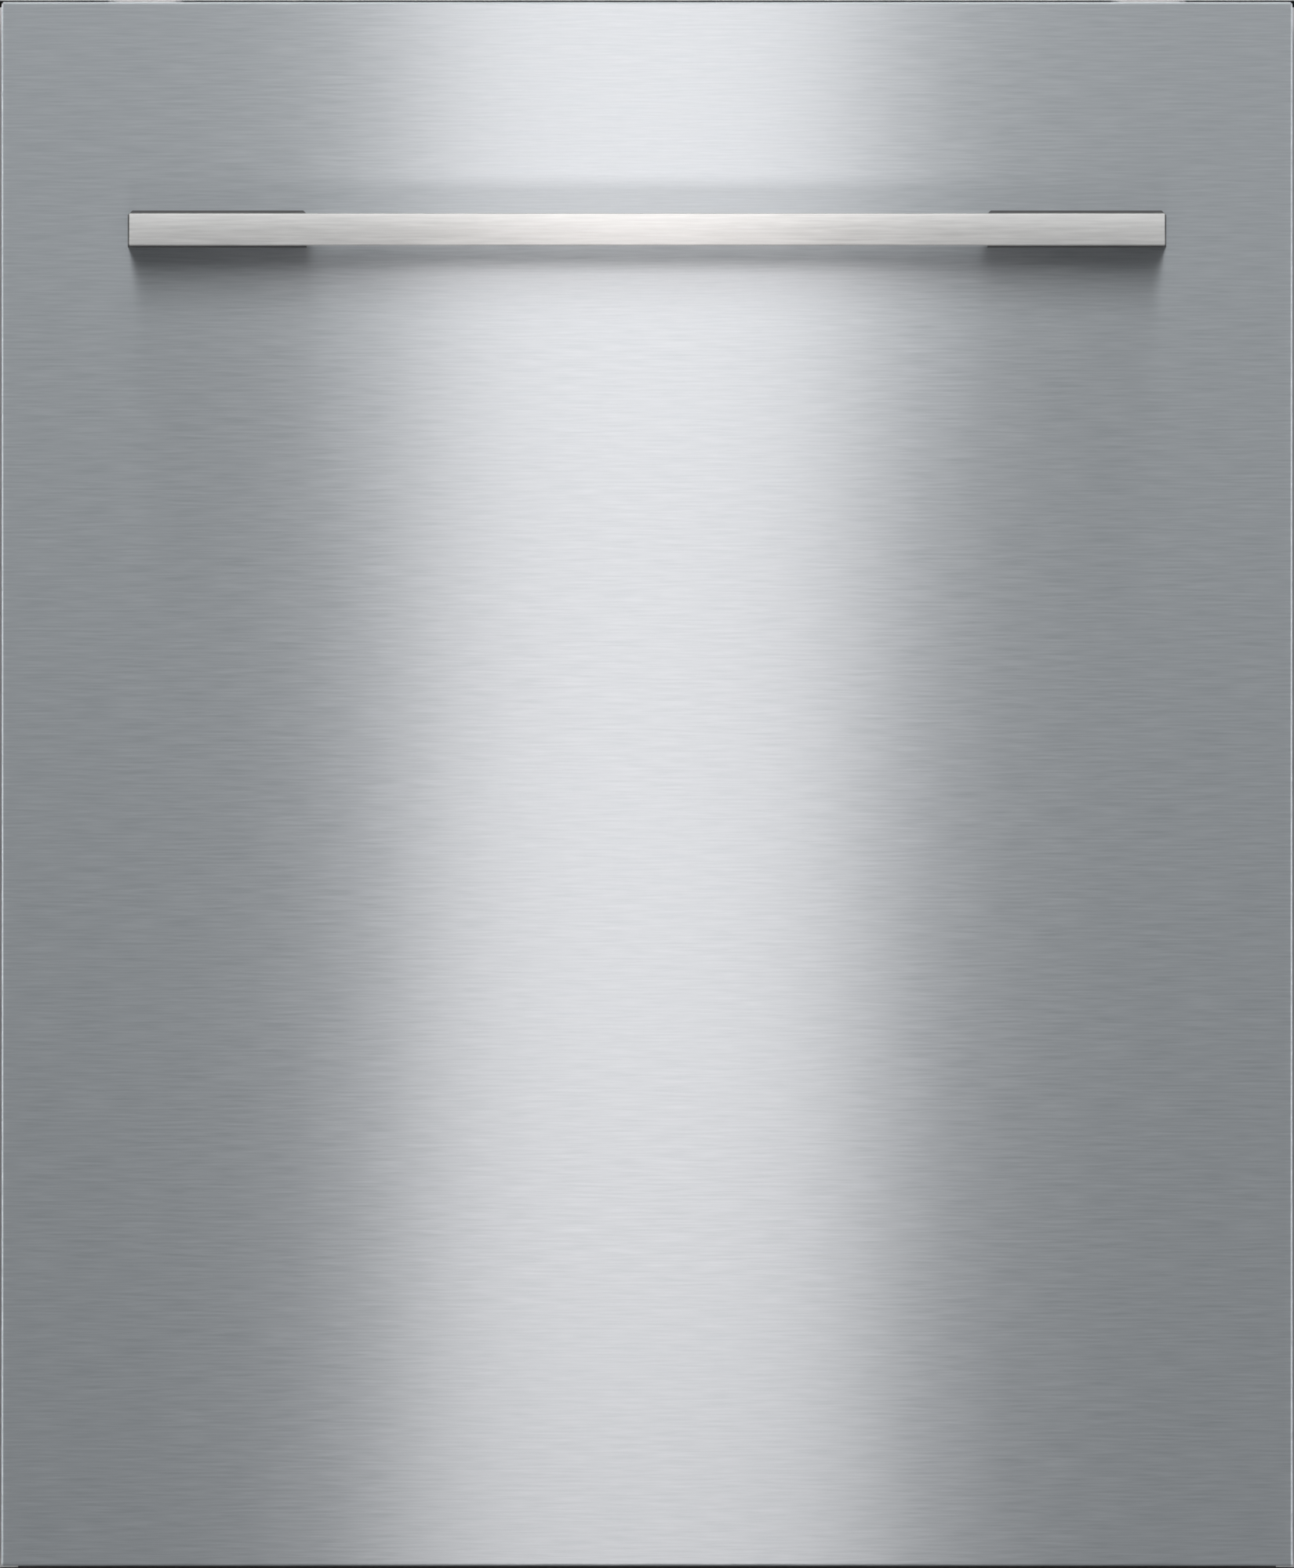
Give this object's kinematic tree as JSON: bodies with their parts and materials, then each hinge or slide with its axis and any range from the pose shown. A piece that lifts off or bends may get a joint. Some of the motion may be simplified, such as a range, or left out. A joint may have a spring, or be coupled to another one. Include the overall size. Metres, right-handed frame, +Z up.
{
  "type": "built-in dishwasher",
  "caption": "Built-in dishwasher with a brushed steel door front and bar handle; the drop-down door carries top-edge controls and two pull-out racks ride in a steel tub.",
  "frame": {"origin": "on the floor below the middle of the whole box, handle included, with the feet screwed in", "axes": "+Z up, the door faces -Y, +X to the right of someone facing the door"},
  "size_m": [0.598, 0.608, 0.815],
  "materials": {
    "brushed_front": "fine horizontal brushing",
    "handle_steel": "brushed",
    "tub_steel": "satin",
    "bare_steel": "plain",
    "zinc_sheet": "zinc coated",
    "dark_plastic": "fine grain",
    "black_plastic": "fine grain",
    "grey_plastic": "fine grain",
    "pale_plastic": "smooth",
    "core_board": "pressed board",
    "rubber": "matt",
    "rack_coating": "nylon coated wire",
    "window_glass": "gloss",
    "circuit_board": "satin",
    "cast_weight": "as cast"
  },
  "bodies": {
    "cabinet": {"tub": "tub_steel", "tub_seal": "rubber", "side_panel_left": "zinc_sheet", "side_panel_right": "zinc_sheet", "rear_panel": "zinc_sheet", "top_plate": "zinc_sheet", "front_crossbar": "bare_steel", "worktop_brackets": "bare_steel", "base_tray": "black_plastic", "kick_plate": "dark_plastic", "hinge_brackets": "bare_steel", "door_springs": "bare_steel", "counterweight": "cast_weight", "cabinet_screws": "bare_steel", "sump": "grey_plastic", "filter_plate": "tub_steel", "circulation_pump": "grey_plastic", "drain_pump": "grey_plastic", "inlet_valve": "pale_plastic", "drain_spigot": "grey_plastic", "mains_inlet": "black_plastic", "side_water_tank": "pale_plastic", "feed_tube": "grey_plastic", "rack_rails": "tub_steel"},
    "door": {"front_panel": "brushed_front", "panel_core": "core_board", "handle_bar": "handle_steel", "handle_legs": "dark_plastic", "handle_screws": "bare_steel", "door_shell": "zinc_sheet", "door_liner": "tub_steel", "control_strip": "dark_plastic", "display_window": "window_glass", "control_boards": "circuit_board", "detergent_dispenser": "grey_plastic", "hinge_arms": "bare_steel", "bottom_seal": "rubber"},
    "lower_rack": {"lower_rack": "rack_coating", "wheel_brackets": "grey_plastic", "cutlery_basket": "grey_plastic"},
    "upper_rack": {"upper_rack": "rack_coating", "rack_brackets": "grey_plastic", "upper_arm_feed": "grey_plastic"},
    "power_button": {"power_button": "handle_steel"},
    "program_button_1": {"program_button_1": "handle_steel"},
    "program_button_2": {"program_button_2": "handle_steel"},
    "program_button_3": {"program_button_3": "handle_steel"},
    "start_button": {"start_button": "handle_steel"},
    "dispenser_lid": {"dispenser_lid": "grey_plastic"},
    "rinse_aid_cap": {"rinse_aid_cap": "dark_plastic"},
    "latch_pawl": {"latch_pawl": "dark_plastic"},
    "front_rack_wheels": {"front_rack_wheels": "grey_plastic"},
    "rear_rack_wheels": {"rear_rack_wheels": "grey_plastic"},
    "rail_slides": {"rail_slides": "tub_steel"},
    "upper_spray_arm": {"upper_spray_arm": "grey_plastic"},
    "lower_spray_arm": {"lower_spray_arm": "grey_plastic"},
    "filter_cup": {"filter_cup": "grey_plastic"},
    "front_foot_left": {"front_foot_left": "black_plastic"},
    "front_foot_right": {"front_foot_right": "black_plastic"},
    "rear_foot": {"rear_foot": "black_plastic"}
  },
  "joints": [
    {"name": "door_hinge", "type": "hinge", "parent": "cabinet", "child": "door", "pos_m": [0, -0.215, 0.118], "axis": [1, 0, 0], "range_deg": [0, 90], "stiffness_Nm_per_rad": 22},
    {"name": "lower_rack_slide", "type": "slide", "parent": "cabinet", "child": "lower_rack", "axis": [0, -1, 0], "range_m": [0, 0.173]},
    {"name": "upper_rack_slide", "type": "slide", "parent": "cabinet", "child": "upper_rack", "axis": [0, -1, 0], "range_m": [0, 0.45]},
    {"name": "rail_slide", "type": "slide", "parent": "cabinet", "child": "rail_slides", "axis": [0, -1, 0], "range_m": [0, 0.225]},
    {"name": "lower_arm_spin", "type": "hinge", "parent": "cabinet", "child": "lower_spray_arm", "pos_m": [0, 0.048, 0.17], "axis": [0, 0, 1], "continuous": true},
    {"name": "upper_arm_spin", "type": "hinge", "parent": "upper_rack", "child": "upper_spray_arm", "pos_m": [0, 0.048, 0.425], "axis": [0, 0, 1], "continuous": true},
    {"name": "front_wheels_roll", "type": "hinge", "parent": "lower_rack", "child": "front_rack_wheels", "pos_m": [0, -0.04, 0.1678], "axis": [1, 0, 0], "continuous": true},
    {"name": "rear_wheels_roll", "type": "hinge", "parent": "lower_rack", "child": "rear_rack_wheels", "pos_m": [0, 0.14, 0.1678], "axis": [1, 0, 0], "continuous": true},
    {"name": "filter_turn", "type": "hinge", "parent": "cabinet", "child": "filter_cup", "pos_m": [0.062, -0.018, 0.15], "axis": [0, 0, 1], "range_deg": [0, 90]},
    {"name": "dispenser_lid_slide", "type": "slide", "parent": "door", "child": "dispenser_lid", "axis": [0, 0, 1], "range_m": [0, 0.06]},
    {"name": "rinse_aid_cap_turn", "type": "hinge", "parent": "door", "child": "rinse_aid_cap", "pos_m": [0.014, -0.178, 0.46], "axis": [0, 1, 0], "range_deg": [0, 90]},
    {"name": "latch_pivot", "type": "hinge", "parent": "door", "child": "latch_pawl", "pos_m": [0, -0.239, 0.8], "axis": [1, 0, 0], "range_deg": [0, 8], "stiffness_Nm_per_rad": 0.5},
    {"name": "power_button_press", "type": "slide", "parent": "door", "child": "power_button", "axis": [0, 0, -1], "range_m": [0, 0.0015], "stiffness_N_per_m": 900},
    {"name": "program_button_1_press", "type": "slide", "parent": "door", "child": "program_button_1", "axis": [0, 0, -1], "range_m": [0, 0.0015], "stiffness_N_per_m": 900},
    {"name": "program_button_2_press", "type": "slide", "parent": "door", "child": "program_button_2", "axis": [0, 0, -1], "range_m": [0, 0.0015], "stiffness_N_per_m": 900},
    {"name": "program_button_3_press", "type": "slide", "parent": "door", "child": "program_button_3", "axis": [0, 0, -1], "range_m": [0, 0.0015], "stiffness_N_per_m": 900},
    {"name": "start_button_press", "type": "slide", "parent": "door", "child": "start_button", "axis": [0, 0, -1], "range_m": [0, 0.0015], "stiffness_N_per_m": 900},
    {"name": "front_foot_left_screw", "type": "slide", "parent": "cabinet", "child": "front_foot_left", "axis": [0, 0, -1], "range_m": [0, 0.06]},
    {"name": "front_foot_right_screw", "type": "slide", "parent": "cabinet", "child": "front_foot_right", "axis": [0, 0, -1], "range_m": [0, 0.06]},
    {"name": "rear_foot_screw", "type": "slide", "parent": "cabinet", "child": "rear_foot", "axis": [0, 0, -1], "range_m": [0, 0.06]}
  ],
  "couplings": [
    {"joint": "lower_rack_slide", "follows": "door_hinge", "m_per_rad": 0.11},
    {"joint": "upper_rack_slide", "follows": "door_hinge", "m_per_rad": 0.286},
    {"joint": "rail_slide", "follows": "door_hinge", "m_per_rad": 0.143}
  ]
}
